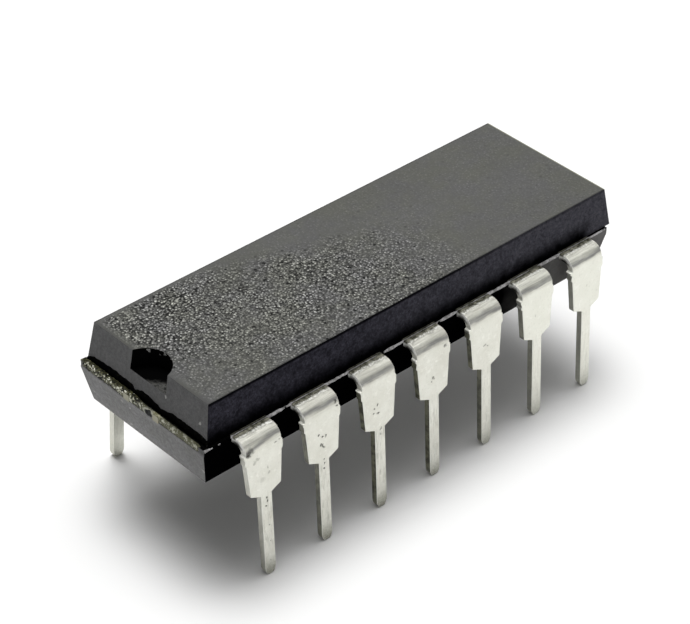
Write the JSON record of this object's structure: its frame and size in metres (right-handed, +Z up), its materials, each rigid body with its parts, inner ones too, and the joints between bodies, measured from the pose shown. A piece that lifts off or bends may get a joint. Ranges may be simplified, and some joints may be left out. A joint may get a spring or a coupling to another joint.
{
  "type": "dual in-line integrated circuit package",
  "caption": "Through-hole chip: dark moulded epoxy body with a half-round end notch and two rows of bent, tin-plated leads with necked tips for a board or socket.",
  "frame": {"origin": "on the plane of the lead tips, under the middle of the part's box", "axes": "+X along the body away from the notched end, +Y across the body towards leads 8 to 14, +Z up from the lead tips through the top face"},
  "size_m": [0.0192, 0.0084, 0.0072],
  "materials": {
    "moulding_compound": "spark-textured matte with a slight sparkle",
    "tin_plate": "matte tin plating with fine forming streaks",
    "frame_copper": "bare copper alloy",
    "die_adhesive": "silver-filled adhesive",
    "silicon": "polished",
    "gold_wire": "drawn, bright"
  },
  "bodies": {
    "root": {"moulded_body": "moulding_compound", "lead_01": "tin_plate", "lead_02": "tin_plate", "lead_03": "tin_plate", "lead_04": "tin_plate", "lead_05": "tin_plate", "lead_06": "tin_plate", "lead_07": "tin_plate", "lead_08": "tin_plate", "lead_09": "tin_plate", "lead_10": "tin_plate", "lead_11": "tin_plate", "lead_12": "tin_plate", "lead_13": "tin_plate", "lead_14": "tin_plate", "die_paddle": "frame_copper", "die_attach": "die_adhesive", "silicon_die": "silicon", "bond_wire_01": "gold_wire", "bond_wire_02": "gold_wire", "bond_wire_03": "gold_wire", "bond_wire_04": "gold_wire", "bond_wire_05": "gold_wire", "bond_wire_06": "gold_wire", "bond_wire_07": "gold_wire", "bond_wire_08": "gold_wire", "bond_wire_09": "gold_wire", "bond_wire_10": "gold_wire", "bond_wire_11": "gold_wire", "bond_wire_12": "gold_wire", "bond_wire_13": "gold_wire", "bond_wire_14": "gold_wire"}
  },
  "joints": []
}
